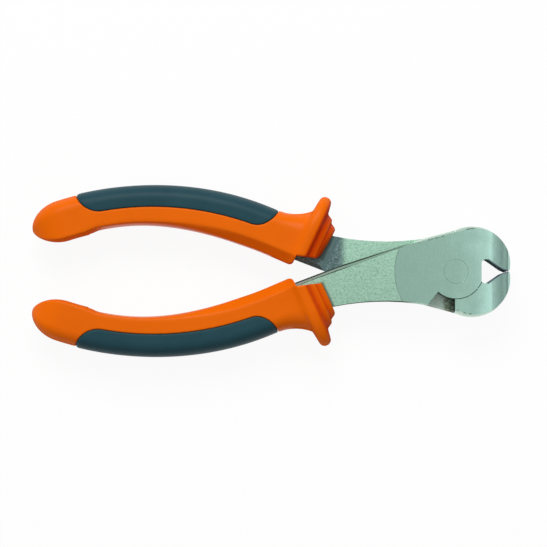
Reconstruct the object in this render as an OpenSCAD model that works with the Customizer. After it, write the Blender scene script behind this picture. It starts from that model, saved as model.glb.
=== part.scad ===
// End cutting nippers: two equal forgings cross at a lap joint and turn on one flush rivet.
// Each handle has a moulded grip with a guard horn, a stepped collar and a soft pad on its outer side.
// Millimetres. X points to the jaws, Z to the viewer, the pivot is the Z axis, the joint's back is at Z = 0.

/* [Joint] */
// Thickness of the lap joint, both layers together
joint_t = 10.4; // [9:0.1:13]
// Radius of the round boss that each half has at the pivot
boss_r = 9.1; // [8.6:0.1:9.4]
// Gap between a boss and the pocket in the other half's jaw
boss_clear = 0.2; // [0.1:0.05:0.4]
// Play between the two layers of the lap
lap_gap = 0.1; // [0.04:0.02:0.3]
// Radius of the flat face that is ground round the pivot
ground_r = 20.5; // [18:0.5:24]
// Height of the ground face over the raw forging
ground_step = 0.3; // [0.1:0.05:0.6]
// Angle of the stop shoulder, measured from the handle side
stop_angle = 51; // [46:1:54]
// Distance of the jaw's heel behind the pivot
heel_back = 0.4; // [0.1:0.1:1]

/* [Rivet] */
// Diameter of the rivet's shank
rivet_d = 6.4; // [5:0.1:7]
// Diameter of the rivet's flush heads
rivet_head_d = 8.1; // [7.6:0.1:10]
// Depth of the rivet's countersunk heads
rivet_head_h = 1.6; // [1:0.1:2.4]
// Radial play of the rivet in its holes
rivet_clear = 0.03; // [0.01:0.01:0.1]

/* [Jaws] */
// Outer radius of a jaw's round back
jaw_r = 12.65; // [12.3:0.05:13.6]
// Centre of that round, ahead of the pivot
jaw_x = 5.6; // [5.2:0.1:6.4]
// Centre of that round, off the centre line
jaw_y = 2.6; // [2:0.1:3.2]
// Length of the cutting edge, across the tool
jaw_w = 15; // [13.5:0.5:18]
// Where the jaw starts to widen, ahead of the pivot
flare_x = 11.2; // [10:0.1:13]
// Gap left between the closed cutting edges
edge_gap = 0.1; // [0.04:0.02:0.4]
// How far the cutting edge lies behind the jaw's round
edge_back = 0.95; // [0.7:0.05:1.1]
// Height of the small bevel on the outer side of the edge
nose_h = 1; // [0.6:0.1:1.6]
// Length of the fine bevel on the inner side of the edge
fine_len = 1.9; // [1.4:0.1:2.2]
// Slope of the fine bevel
fine_angle = 21; // [17:1:25]
// Slope of the main bevel
bevel_angle = 34; // [32:1:36]
// Distance of the eye's flat rear wall ahead of the pivot
eye_from = 8.45; // [8:0.05:8.8]
// Radius of the corners of the eye
eye_r = 1.4; // [1:0.1:1.8]
// Draft of the jaw's round back, on each side of the parting line
jaw_draft = 4; // [2:0.5:4.5]

/* [Shanks] */
// Slope of the shank's inner edge next to the jaw
head_slope = 15; // [14:0.5:16.5]
// Slope of the shank's inner edge further back
shank_slope = 21; // [20.4:0.1:21.6]
// Distance behind the pivot where the slope changes
slope_break = 10; // [8:0.5:13]
// Distance behind the pivot of the waist in the outer edge
waist_x = 23.5; // [20:0.5:26]
// Distance of the waist from the centre line
waist_y = 10.15; // [9.8:0.05:11]
// Radius of the waist
waist_r = 86; // [78:1:105]
// Draft of the forged sides, on each side of the parting line
draft_angle = 4; // [1:0.5:4.5]
// Width of the slanting inner wall of the shank, behind the crossing
wall_w = 1.65; // [1.2:0.05:1.9]
// Thickness of the tang
tang_t = 5.5; // [4.5:0.1:6.5]
// Width of the tang inside the grip
tang_w = 7.2; // [6:0.1:8]
// Reach of the tang behind the guard point, along the grip
tang_len = 52; // [40:1:56]
// Distance behind the guard point where the tang gets its width
tang_root = 4; // [2:0.5:8]
// Distance ahead of the guard point where the tang starts to narrow
tang_neck = 7; // [5:0.5:9]

/* [Grip] */
// Distance of the guard point behind the pivot
guard_x = 60.3; // [58:0.1:66]
// Distance of the guard point from the centre line
guard_y = 13; // [12.8:0.1:13.6]
// Slant of the grip at the guard
guard_tilt = 25; // [24.5:0.1:26]
// Radius of the bend along the grip
bend_r = 98.2; // [90:0.2:115]
// Length of the grip behind the guard point, along its bend
grip_len = 84.35; // [78:0.05:95]
// Thickness of the grip in the hand
grip_t = 13.4; // [12.6:0.1:15]
// Extra thickness on each face at the fullest place
grip_swell = 0.5; // [0:0.1:1]
// Depth of the round on the grip's outer side
nose_len = 5; // [4:0.1:6]
// Reach of the grip's inner edge from the bend line, where it is slimmest
inner_reach = 6.7; // [6.2:0.05:7.2]
// Reach of the grip's outer edge from the bend line, where it is slimmest
outer_reach = 6.65; // [6.2:0.05:7.2]
// Distance of the slimmest place behind the guard point
slim_s = 54; // [50:1:56]
// Distance of the fullest place behind the guard point
full_s = 9; // [6:1:14]
// Extra reach of the inner edge at the fullest place
inner_belly = 1.55; // [1:0.05:2]
// Slant of the inner edge in front of the fullest place
inner_slant = 1.9; // [0:0.1:3]
// Extra reach of the outer edge at the fullest place
outer_belly = 0.5; // [0.2:0.05:0.9]
// Extra reach of the inner edge at the bulb
bulb_swell = 0.55; // [0.3:0.05:1.2]
// Height of the small ledge on the inner edge, beside the pad's rear end
ledge_h = 0.25; // [0.1:0.05:0.4]
// Length of the bulb, from its neck to the end
bulb_len = 22.5; // [21:0.5:24]
// Length over which the neck swells to the bulb
neck_len = 4; // [3:0.5:6]
// Length of the bulb's round end
bulb_end = 10.7; // [9:0.1:12]
// Width of the flat facet on the inner edge at the guard
facet_w = 3.1; // [2:0.1:3.6]
// Width of that facet at the bulb
facet_rear = 0.9; // [0.7:0.1:1.6]
// Depth of that facet at the guard
facet_d = 3.2; // [2:0.1:4]

/* [Guard] */
// Distance of the horn ahead of the guard point
horn_a = 10.8; // [10:0.1:11]
// Width of the horn
horn_w = 4.3; // [3.4:0.1:4.8]
// Reach of the horn's tip from the bend line
horn_reach = 18.1; // [16:0.1:20]
// Length of the horn's steep rear flank
horn_flank = 0.3; // [0.2:0.05:0.6]
// Radius of the fillet behind the horn
fillet_r = 15.8; // [12:0.1:17]
// Reach of the fillet's upper end from the bend line
fillet_top = 12; // [11:0.1:13]
// Height of the guard's ridge over the grip's face
ridge_h = 1.7; // [1:0.1:2.4]
// Length of the hollow that leads up to the ridge
ridge_fillet = 7.4; // [5:0.1:8.2]
// Length of the slope in front of the ridge
ridge_front = 0.4; // [0.3:0.05:0.9]
// Length of each of the two steps in front of the ridge
step_len = 2.22; // [2:0.02:2.4]
// Drop between the two steps in thickness, on each face
step_z = 0.4; // [0.2:0.05:0.7]
// Slope of the steps' faces, falling to the front
step_slope = 24; // [18:1:28]
// Reach of the first step's outer edge from the bend line
step_reach = 13.1; // [12:0.1:14]
// Drop between the two steps' outer edges
step_drop = 1; // [0.6:0.1:1.4]
// Slant of the steps' outer edges
step_slant = 29; // [24:1:32]
// Length of the slope between the two steps
step_rise = 0.3; // [0.1:0.05:0.5]
// Round of the collar's front rim
rim_r = 0.7; // [0.4:0.05:0.9]
// Slant of the collar's front edge on the side of the lap
lap_slant = 7; // [4:0.5:9]
// Distance ahead of the guard point where the inner side opens
open_a = 9.6; // [9:0.1:10]
// Reach of the collar's inner edge from the bend line at the opening
open_reach = 4.2; // [3.8:0.1:4.6]
// Slant of the collar's inner edge
open_slant = 17.5; // [15:0.5:19]
// Radius of the grip's inner corner at the opening
open_round = 1.6; // [1:0.1:2]

/* [Pad] */
// Start of the soft pad behind the guard point
pad_from = 2; // [1:0.1:4]
// Length of bare bulb behind the soft pad
bulb_bare = 17.25; // [15:0.05:19]
// Reach of the pad's inner line from the bend line, toward the inner edge, at the front
line_front = 0.75; // [0.4:0.05:1.2]
// Reach of that line at the rear
line_rear = 1.1; // [0.6:0.05:1.5]
// Length of the pad's round front end
pad_front = 6.5; // [5:0.1:8]
// Length of the pad's round rear end
pad_rear = 7.6; // [6:0.1:9]
// Thickness of the pad
pad_t = 1.7; // [1.2:0.1:2]
// How far the pad stands over the bulb behind it
pad_proud = 0.35; // [0.1:0.05:0.6]
// Length over which the pad's end drops to the bulb
pad_lip = 1.2; // [0.8:0.1:1.6]

/* [Hidden] */
$fn = 96;
steel = [0.60, 0.74, 0.67];
bright_steel = [0.68, 0.80, 0.74];
orange = [0.90, 0.40, 0.07];
slate = [0.18, 0.29, 0.33];
// Room that cutting shapes have past the solids
room = joint_t;
half_t = joint_t / 2;
half_gap = lap_gap / 2;
pocket_r = boss_r + boss_clear;
draft = tan(draft_angle);
// Half height of the slanting wall's upright middle, and the share of its width left at the face
wall_land = 4 * lap_gap;
wall_rest = 0.2;

// Jaw: cutting edge, bevels and the corner of the eye
edge_y = edge_gap / 2;
edge_x = jaw_x + sqrt(pow(jaw_r, 2) - pow(jaw_y, 2)) - edge_back;
nose_x = jaw_x + sqrt(pow(jaw_r, 2) - pow(jaw_y - nose_h, 2));
fine_x = edge_x - fine_len * cos(fine_angle);
fine_y = edge_y + fine_len * sin(fine_angle);
eye_x = eye_from + eye_r;
eye_y = fine_y + (fine_x - eye_x) * tan(bevel_angle) - eye_r / cos(bevel_angle);
flare_len = edge_x - flare_x;
flare_h = (jaw_w - joint_t) / 2;
flare_r = (pow(flare_len, 2) + pow(flare_h, 2)) / (2 * flare_h);
flare_angle = atan2(flare_len, flare_r - flare_h);

// Shank: tangent corner at the jaw, corner at the change of slope, stop corner on the waist
tuck = 0.015 * jaw_r;
corner_x = jaw_x - (jaw_r - tuck) * sin(head_slope);
corner_y = jaw_y + (jaw_r - tuck) * cos(head_slope);
break_y = corner_y - (corner_x + slope_break) * tan(head_slope);
cross_x = slope_break + break_y / tan(shank_slope);
wide_x = cross_x + wall_w / tan(shank_slope);
waist_c = [-waist_x, -waist_y - waist_r];
stop_dir = [-cos(stop_angle), -sin(stop_angle)];
stop_along = stop_dir * waist_c;
stop_len = stop_along - sqrt(pow(stop_along, 2) - waist_c * waist_c + pow(waist_r, 2));
stop_pt = stop_len * stop_dir;

// Grip: the bend line runs straight through the collar and then along an arc to the bulb
guard_pt = [-guard_x, -guard_y];
guard_dir = [cos(guard_tilt), sin(guard_tilt)];
guard_out = [sin(guard_tilt), -cos(guard_tilt)];
bend_c = guard_pt - bend_r * guard_out;
neck_s = grip_len - bulb_len;
pad_to = grip_len - bulb_bare;
round_s = grip_len - bulb_end;
horn_from = horn_a - horn_w / 2;
horn_to = horn_a + horn_w / 2;
flank_a = horn_from - horn_flank;
fillet_h = fillet_top - outer_reach - outer_belly;
fillet_len = sqrt(2 * fillet_r * fillet_h - pow(fillet_h, 2));
fillet_s = fillet_len - flank_a;
step_from = horn_to + ridge_front;
step_mid = step_from + step_len;
collar_len = step_mid + step_len;

// Lap relief on the back of the shank, along the grip's slant from the pivot
collar_u = -(guard_pt * guard_dir) - collar_len;
lap_u = wide_x * cos(guard_tilt) + 3 * lap_gap;

function ease(t) = let (k = min(max(t, 0), 1)) k * k * (3 - 2 * k);
function slant(s) = s > 0 ? guard_tilt - s / bend_r * 180 / PI : guard_tilt;
function outward(s) = [sin(slant(s)), -cos(slant(s))];
function bend_pt(s) = s > 0 ? bend_c + bend_r * outward(s) : guard_pt - s * guard_dir;
// Point at s behind the guard along the bend line and v outward from it
function at(s, v) = bend_pt(s) + v * outward(s);

// How much of the full section is left at s: one along the grip, falling to nought at the bulb's end
function fill(s) = s <= round_s ? 1 : pow(max(1 - pow((s - round_s) / bulb_end, 2), 0), 0.6);
function inner_body(s) =
    inner_reach + inner_belly * ease((slim_s - s) / (slim_s - full_s)) - tan(inner_slant) * max(full_s - s, 0)
    + bulb_swell * ease((s - neck_s) / neck_len) + ledge_h * ease(2 * (s - pad_to + pad_lip) / pad_lip);
function outer_body(s) =
    outer_reach + outer_belly * ease((slim_s - s) / (slim_s - full_s))
    - pad_proud * ease((s - pad_to + pad_lip) / pad_lip);
// Round at the front rim of the collar
function rim_round(a) = rim_r * (1 - sqrt(max(1 - pow(max((a - collar_len) / rim_r + 1, 0), 2), 0)));
// Reach of the outer edge through the guard: fillet, horn and two steps
function outer_guard(a) =
    let (side = horn_reach - horn_w / 2)
    a <= -fillet_s ? outer_body(-a)
    : a <= flank_a ? outer_body(-a) + fillet_r - sqrt(pow(fillet_r, 2) - pow(a + fillet_s, 2))
    : a <= horn_from ? fillet_top + (side - fillet_top) * (a - flank_a) / horn_flank
    : a <= horn_to ? side + sqrt(max(pow(horn_w / 2, 2) - pow(a - horn_a, 2), 0))
    : a < step_from ? side + (step_reach - side) * (a - horn_to) / ridge_front
    : step_reach - tan(step_slant) * (a - step_from) - (a > step_mid ? step_drop + rim_round(a) : 0);
function outer_edge(s) = s > fillet_s ? outer_body(s) : outer_guard(-s);
// Half thickness: plain grip, hollow, ridge over the horn's width, two sloping steps
function half_z(s) =
    let (
        a = -s,
        base = grip_t / 2 + grip_swell * ease((slim_s - s) / (slim_s - full_s)),
        up = min(max((a - flank_a) / ridge_fillet + 1, 0), 1),
        bead = sqrt(max(1 - pow(2 * (a - horn_a) / horn_w, 2), 0))
    )
    a <= horn_from ? base + ridge_h / 2 * (1 - sqrt(1 - pow(up, 2)))
    : a <= horn_to ? base + ridge_h / 2 * (1 + bead)
    : a < step_from ? base + ridge_h / 2 * (step_from - a) / ridge_front
    : base - tan(step_slope) * (a - step_from) - (a > step_mid ? step_z + rim_round(a) : 0);

// Section across the grip: facet or round on the inner side, flat faces, round nose on the outer side
function section(s) =
    let (
        f = fill(s),
        mid = (outer_body(round_s) - inner_body(round_s)) / 2,
        vi = mid - f * (inner_body(s) + mid),
        vo = s > round_s ? mid + f * (outer_edge(s) - mid) : outer_edge(s),
        z = f * half_z(s),
        soft = ease((s - full_s) / (slim_s - full_s) / 0.75),
        back = ease((s / slim_s - 0.4) / 0.56),
        c = f * (facet_w + (facet_rear - facet_w) * ease((s - full_s) / (slim_s - full_s))),
        d = f * facet_d * (1 + 0.9 * back),
        e = 2 / (1 + 1.1 * soft),
        nose = f * (nose_len + 0.8 * max(outer_edge(s) - outer_body(s), 0)),
        half = concat(
            [for (k = [0 : 4]) [vi + c * (1 - pow(cos(22.5 * k), e)), z - d + d * pow(sin(22.5 * k), e)]],
            [for (k = [0 : 7]) [vo - nose + nose * pow(sin(90 * k / 7), 0.9), z * pow(cos(90 * k / 7), 0.9)]]
        ),
        n = len(half)
    )
    concat(half, [for (k = [n - 2 : -1 : 0]) [half[k][0], -half[k][1]]]);
function ring(s) = [for (p = section(s)) let (q = at(s, p[0])) [q[0], q[1], p[1]]];

// Places along the grip where sections are taken
collar_places = concat(
    [collar_len, collar_len - 0.25 * rim_r, collar_len - rim_r],
    [step_mid + step_rise, step_mid, step_from],
    [for (k = [0 : 7]) horn_a + horn_w / 2 * cos(180 * k / 7)],
    [for (k = [8 : -1 : 0]) fillet_r * sin(asin(fillet_len / fillet_r) * k / 8) - fillet_s]
);
pad_places = [for (k = [1 : 16]) fillet_s + (pad_to - 3 * pad_lip - fillet_s) * k / 16];
bulb_places = concat(
    [for (k = [2, 1, 0.5, 0]) pad_to - k * pad_lip],
    [for (k = [1, 2]) pad_to + (round_s - pad_to) * k / 3],
    [for (k = [0 : 8]) round_s + bulb_end * sin(10.5 * k + 3)]
);
places = concat([for (a = collar_places) -a], pad_places, bulb_places);

// Solid through a row of rings
module loft(rings) {
    n = len(rings[0]);
    m = len(rings);
    sides = [
        for (i = [0 : m - 2], j = [0 : n - 1])
            let (p = i * n + j, q = i * n + (j + 1) % n)
            each [[p, q, p + n], [q, q + n, p + n]]
    ];
    front = [for (j = [n - 1 : -1 : 0]) j];
    back = [for (j = [0 : n - 1]) (m - 1) * n + j];
    polyhedron([for (r = rings) each r], concat([front], sides, [back]));
}

// Outline of shank and tang, seen from the front, with its inner edge moved out by w behind the crossing
neck_x = -bend_pt(-tang_neck)[0];
arc_from = asin((waist_x - neck_x) / waist_r);
arc_to = asin((stop_pt[0] + waist_x) / waist_r);
function shank_plan(w) = concat(
    [[0, 0], [corner_x, corner_y], [-slope_break, break_y], [-cross_x, w]],
    [[-neck_x, w - (neck_x - cross_x) * tan(shank_slope)]],
    [for (k = [0 : 8]) at(tang_root + (tang_len - tang_root) * k / 8, -tang_w / 2)],
    [for (k = [8 : -1 : 0]) at(tang_root + (tang_len - tang_root) * k / 8, tang_w / 2)],
    [
        for (k = [0 : 10])
            let (t = arc_from + (arc_to - arc_from) * k / 10)
            waist_c + waist_r * [sin(t), cos(t)]
    ]
);

// Unit normal into an outline that runs anticlockwise, for the edge from p to q
function inward(p, q) = [p[1] - q[1], q[0] - p[0]] / norm(q - p);
// The same outline drawn in by d
function inset(pts, d) = let (n = len(pts)) [
    for (i = [0 : n - 1])
        let (
            m1 = inward(pts[(i + n - 1) % n], pts[i]),
            m2 = inward(pts[i], pts[(i + 1) % n])
        )
        pts[i] + d * (m1 + m2) / (1 + m1 * m2)
];

// Shank and tang a little over the joint's thickness, with draft and the slanting inner wall on both sides
module shank_block() {
    edge = tang_t / 2 + lap_gap;
    levels = [half_t + lap_gap, edge, wall_land, -wall_land, -edge, -half_t - lap_gap];
    loft([
        for (z = levels)
            let (plan = shank_plan(abs(z) < edge ? wall_w : wall_w * wall_rest))
            [for (p = inset(plan, draft * abs(z))) [p[0], p[1], z]]
    ]);
}

// Side view of the shank: ground level at the joint, lap level on the back, tang thickness in the grip
module shank_side() {
    polygon([
        [-room, half_gap],
        [-room, half_t - ground_step],
        [ground_r - ground_step, half_t - ground_step],
        [collar_u, tang_t / 2],
        [collar_u + tang_len + collar_len + room, tang_t / 2],
        [collar_u + tang_len + collar_len + room, -tang_t / 2],
        [collar_u, -tang_t / 2],
        [lap_u, half_gap]
    ]);
}

module shank() {
    intersection() {
        shank_block();
        union() {
            rotate([0, 0, 180 + guard_tilt]) rotate([90, 0, 0])
                linear_extrude(4 * room, center = true) shank_side();
            translate([0, 0, half_gap]) cylinder(r = ground_r, h = half_t - half_gap);
        }
    }
}

// Eye between the closed jaws: flat rear wall, round corner, bevels that meet at the cutting edges
module eye() {
    tangent = [eye_x + eye_r * sin(bevel_angle), eye_y + eye_r * cos(bevel_angle)];
    linear_extrude(jaw_w + room, center = true) {
        polygon([
            [edge_x, 0], [edge_x, edge_y], [fine_x, fine_y], tangent,
            [eye_x, eye_y], [eye_from, eye_y], [eye_from, 0]
        ]);
        translate([eye_x, eye_y]) circle(eye_r);
    }
}

// Side view of a jaw: as thick as the joint at the back, flaring to the full cutting width
module jaw_side() {
    arc = [
        for (k = [0 : 8])
            let (t = flare_angle * k / 8)
            [flare_x + flare_r * sin(t), flare_r * (1 - cos(t))]
    ];
    tip = [jaw_x + jaw_r + room, flare_h];
    polygon(concat(
        [[-jaw_r, half_t]],
        [for (p = arc) [p[0], half_t + p[1]]],
        [[tip[0], half_t + tip[1]], [tip[0], -half_t - tip[1]]],
        [for (k = [8 : -1 : 0]) [arc[k][0], -half_t - arc[k][1]]],
        [[-jaw_r, -half_t]]
    ));
}

// Round back of a jaw with draft to both faces
module jaw_round() {
    face_r = jaw_r - tan(jaw_draft) * jaw_w / 2;
    rotate_extrude() polygon([
        [0, -jaw_w / 2], [face_r, -jaw_w / 2], [jaw_r, 0], [face_r, jaw_w / 2], [0, jaw_w / 2]
    ]);
}

// Jaw block with its eye, outer bevel, pocket for the other boss, and heel
module jaw() {
    difference() {
        intersection() {
            translate([jaw_x, jaw_y, 0]) jaw_round();
            rotate([90, 0, 0]) linear_extrude(4 * jaw_r, center = true) jaw_side();
            translate([-jaw_r, edge_y, -jaw_w]) cube([4 * jaw_r, 2 * jaw_r, 2 * jaw_w]);
        }
        eye();
        linear_extrude(jaw_w + room, center = true)
            polygon([
                [edge_x, 0], [edge_x, edge_y], [nose_x, nose_h],
                [nose_x + room, nose_h], [nose_x + room, 0]
            ]);
        translate([0, 0, half_gap - jaw_w]) cylinder(r = pocket_r, h = jaw_w);
        translate([-heel_back - 2 * jaw_r, -jaw_r, half_gap - jaw_w]) cube([2 * jaw_r, 4 * jaw_r, jaw_w]);
    }
}

// Shape of the rivet about the middle of the joint, swollen by a radial clearance
module rivet_shape(clear) {
    cylinder(d = rivet_d + 2 * clear, h = joint_t, center = true);
    for (side = [0, 1]) mirror([0, 0, side])
        translate([0, 0, half_t - rivet_head_h])
            cylinder(d1 = rivet_d + 2 * clear, d2 = rivet_head_d + 2 * clear, h = rivet_head_h);
}

// Round boss with a flat where the eye begins
module boss() {
    difference() {
        translate([0, 0, half_gap]) cylinder(r = boss_r, h = half_t - half_gap);
        translate([eye_from, -boss_r, -room]) cube([boss_r, 2 * boss_r, 2 * room]);
    }
}

// One forging, about the middle of the joint: boss and shank in the front layer, jaw above
module half() {
    difference() {
        union() {
            boss();
            jaw();
            shank();
        }
        rivet_shape(rivet_clear);
    }
}

// Plan of the soft pad: round ends and a line that follows the bend
module pad_plan() {
    edge = outer_reach + outer_belly;
    far = 2 * outer_reach;
    line_from = pad_from + pad_front;
    line_len = pad_to - pad_rear - line_from;
    polygon(concat(
        [
            for (k = [0 : 6])
                at(pad_from + pad_front * (1 - cos(15 * k)), edge - (edge + line_front) * sin(15 * k))
        ],
        [
            for (k = [1 : 9])
                at(line_from + line_len * k / 10, -line_front - (line_rear - line_front) * k / 10)
        ],
        [
            for (k = [6 : -1 : 0])
                at(pad_to - pad_rear * (1 - cos(15 * k)), edge - (edge + line_rear) * sin(15 * k))
        ],
        [for (k = [10 : -1 : 0]) at(pad_from + (pad_to - pad_from) * k / 10, far)]
    ));
}

// Hard core under the pad
module pad_core() {
    from = pad_from - pad_t;
    to = pad_to + pad_t;
    linear_extrude(grip_t - 2 * pad_t, center = true) polygon(concat(
        [for (k = [0 : 12]) let (s = from + (to - from) * k / 12) at(s, outer_body(s) - pad_t)],
        [for (k = [12 : -1 : 0]) at(from + (to - from) * k / 12, -2 * inner_reach)]
    ));
}

module pad_space() {
    difference() {
        linear_extrude(4 * grip_t, center = true) pad_plan();
        pad_core();
    }
}

// Part of the collar's inner side that stays open, so that the tang shows, with a round corner behind it
module collar_opening() {
    far = horn_reach + room;
    rise = far * tan(open_slant);
    back = open_round - open_a;
    edge = open_round - inner_body(back);
    linear_extrude(4 * grip_t, center = true) polygon(concat(
        [at(back, -far)],
        [for (k = [0 : 4]) at(back - open_round * sin(22.5 * k), edge - open_round * cos(22.5 * k))],
        [at(-open_a, -open_reach), at(-open_a - far, -open_reach + rise), at(-open_a - far, -far)]
    ));
}

// Wedge that slants the collar's front edge on the side of the lap
module lap_wedge() {
    far = horn_reach + room;
    from = outer_guard(collar_len);
    translate([0, 0, -2 * grip_t]) linear_extrude(2 * grip_t) polygon([
        at(-collar_len, from), at(-collar_len + far * tan(lap_slant), from - far),
        at(-collar_len - far, from - far), at(-collar_len - far, from)
    ]);
}

// Grip body about the middle of the joint
module grip_shape() {
    difference() {
        loft([for (s = places) ring(s)]);
        intersection() {
            shank_block();
            cube([4 * grip_len, 4 * grip_len, tang_t], center = true);
        }
        collar_opening();
        lap_wedge();
        pad_space();
    }
}

// Soft pad about the middle of the joint
module pad_shape() {
    intersection() {
        loft([for (s = places) if (s > pad_from - pad_front && s < pad_to + pad_rear / 2) ring(s)]);
        pad_space();
    }
}

// A shape at its place in the front lever, or turned over in the rear one
module front() {
    translate([0, 0, half_t]) children();
}

module rear() {
    translate([0, 0, half_t]) rotate([180, 0, 0]) children();
}

module rear_half() {
    color(steel) rear() half();
}

module front_half() {
    color(steel) front() half();
}

module rivet() {
    color(bright_steel) front() rivet_shape(0);
}

module rear_grip() {
    color(orange) rear() grip_shape();
}

module front_grip() {
    color(orange) front() grip_shape();
}

module rear_pad() {
    color(slate) rear() pad_shape();
}

module front_pad() {
    color(slate) front() pad_shape();
}

rear_half();
front_half();
rivet();
rear_grip();
front_grip();
rear_pad();
front_pad();
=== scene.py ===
import math

import bmesh
import bpy
import numpy as np
from mathutils import Matrix, Vector, geometry


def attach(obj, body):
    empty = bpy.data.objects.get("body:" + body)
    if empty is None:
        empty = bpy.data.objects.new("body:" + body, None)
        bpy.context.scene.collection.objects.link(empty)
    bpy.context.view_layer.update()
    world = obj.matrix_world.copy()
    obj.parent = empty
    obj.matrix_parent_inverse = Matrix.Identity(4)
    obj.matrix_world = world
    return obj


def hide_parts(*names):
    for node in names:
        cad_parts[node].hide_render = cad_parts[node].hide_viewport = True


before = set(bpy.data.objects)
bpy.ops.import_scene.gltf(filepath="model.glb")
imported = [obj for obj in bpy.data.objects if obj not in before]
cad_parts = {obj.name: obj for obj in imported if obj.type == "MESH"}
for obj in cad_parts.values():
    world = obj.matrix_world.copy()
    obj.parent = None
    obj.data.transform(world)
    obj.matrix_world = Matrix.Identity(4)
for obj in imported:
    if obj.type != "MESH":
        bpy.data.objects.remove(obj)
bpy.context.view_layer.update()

# The frame is that of the part's source: X to the jaws, Z to the viewer, the pivot on the Z axis.
# Shapes are worked out in millimetres for the front lever. The rear lever is the front one turned over.
# On a grip, s runs back from the guard point along the bend line and a forward from it, v outward from
# that line, z up from the middle of the joint, and l round the section from its outer mid line.
MM = 0.001
# Middle of the lap joint above its back face
MID = 5.2

# Sizes of the grip, the same as in the part's source. Bend line and body:
GUARD = np.array([-60.3, -13.0])
TILT = math.radians(25)
BEND_R = 98.2
GRIP_LEN = 84.35
GRIP_T = 13.4
GRIP_SWELL = 0.5
NOSE_LEN = 5.0
INNER_REACH = 6.7
OUTER_REACH = 6.65
SLIM_S = 54.0
FULL_S = 9.0
INNER_BELLY = 1.55
INNER_SLANT = math.tan(math.radians(1.9))
OUTER_BELLY = 0.5
# Bulb at the rear, and the facet along the inner edge
BULB_SWELL = 0.55
LEDGE_H = 0.25
BULB_LEN = 22.5
NECK_LEN = 4.0
BULB_END = 10.7
FACET_W = 3.1
FACET_REAR = 0.9
FACET_D = 3.2
# Guard horn, ridge and the two steps of the collar
HORN_A = 10.8
HORN_W = 4.3
HORN_REACH = 18.1
HORN_FLANK = 0.3
FILLET_R = 15.8
FILLET_TOP = 12.0
RIDGE_H = 1.7
RIDGE_FILLET = 7.4
RIDGE_FRONT = 0.4
STEP_LEN = 2.22
STEP_Z = 0.4
STEP_SLOPE = math.tan(math.radians(24))
STEP_REACH = 13.1
STEP_DROP = 1.0
STEP_SLANT = math.tan(math.radians(29))
RIM_R = 0.7
LAP_SLANT = math.tan(math.radians(7))
# Opening of the collar towards the other handle
OPEN_A = 9.6
OPEN_REACH = 4.2
OPEN_SLANT = math.tan(math.radians(17.5))
OPEN_ROUND = 1.6
# Pad and its border
PAD_FROM = 2.0
BULB_BARE = 17.25
LINE_FRONT = 0.75
LINE_REAR = 1.1
PAD_FRONT = 6.5
PAD_REAR = 7.6
PAD_PROUD = 0.35
PAD_LIP = 1.2

# Places that follow from these sizes
NECK_S = GRIP_LEN - BULB_LEN
PAD_TO = GRIP_LEN - BULB_BARE
ROUND_S = GRIP_LEN - BULB_END
HORN_FROM = HORN_A - HORN_W / 2
HORN_TO = HORN_A + HORN_W / 2
FLANK_A = HORN_FROM - HORN_FLANK
FILLET_H = FILLET_TOP - OUTER_REACH - OUTER_BELLY
FILLET_LEN = math.sqrt(2 * FILLET_R * FILLET_H - FILLET_H ** 2)
FILLET_S = FILLET_LEN - FLANK_A
STEP_FROM = HORN_TO + RIDGE_FRONT
STEP_MID = STEP_FROM + STEP_LEN
COLLAR_LEN = STEP_MID + STEP_LEN
# Directions at the guard: forward along the grip, and outward from it
FORWARD = np.array([math.cos(TILT), math.sin(TILT)])
OUTWARD = np.array([math.sin(TILT), -math.cos(TILT)])

# Form of the section: powers of the curves, and how the facet softens and deepens to the rear
BULB_POWER = 0.6
NOSE_POWERS = (0.9, 1.8)
NOSE_GROW = 0.8
FACET_POWER = 4
FACET_SOFTER = 1.1
FACET_SOFT_SHARE = 0.75
FACET_DEEPER = 0.9
FACET_DEEP_FROM = 0.4
FACET_DEEP_RUN = 0.56
# Rounds of the corners, as the spread of a Gaussian, and the spacing of the samples they are taken on
SAMPLE = 0.02
EDGE_ROUND = 0.16
CRISP_ROUND = 0.2
MELLOW_ROUND = 0.48
SECTION_ROUND = 0.32
# From the mellow ridge to the crisp one: start behind the horn's middle, and length of the change
CRISP_LEAD = 1.2
CRISP_RUN = 1.4
# Slant of the collar's front edge: where it starts on the last step, and the height over which it sets in
LEAN_START = 0.3
LEAN_Z = 2.2

# Parts of the half section: outer round, flat face, facet, inner wall, each with finer samples between
N_NOSE, N_FLAT, N_FACET, N_WALL = 20, 20, 10, 5
HALF_N = N_NOSE + N_FLAT + N_FACET + N_WALL + 1
FINE = 6
RING_N = 1024
# Table of the section along the padded stretch
TABLE_FROM, TABLE_TO, TABLE_STEP = 0.0, 70.0, 0.25
# Reach of the small differences that a surface normal is taken from
NORMAL_STEP = 0.15
# Points along the pad's border, before on its ends and sides, and after
END_N, SIDE_N, BORDER_N = 181, 241, 190
# Evening out of the border: points to each side and their spread
BLUR_N, BLUR_SPREAD = 4, 1.6

# Padded stretch of the grip, made as a triangle net between the rings of collar and bulb
NET_FROM, NET_TO = 0.6, 68.4
NET_STEP = 0.75
SEAT_STEP = 2.0
# Room that the net's rows leave at the front and the rear, on the grip, on the seat and on the pad
NET_ENDS = (0.7, 0.3)
SEAT_ENDS = (1.0, 0.0)
PAD_ENDS = (1.0, 0.6)
# Rings behind the collar's front edge, then with a fine and a coarse spacing
FRONT_RINGS = np.array([0, 0.04, 0.1, 0.2, 0.35, 0.5])
FINE_RING, FINE_FROM, FINE_TO = 0.11, 0.65, 7.6
COARSE_RING, COARSE_A = 0.3, 7.5
# Middle of the cap that closes the collar
CAP_V = 1.5
# Rings of the bulb: straight ones, then those of the round end, which stop just short of its tip
BULB_RINGS, TIP_RINGS, TIP_ANGLE = 10, 34, 88.5
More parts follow.
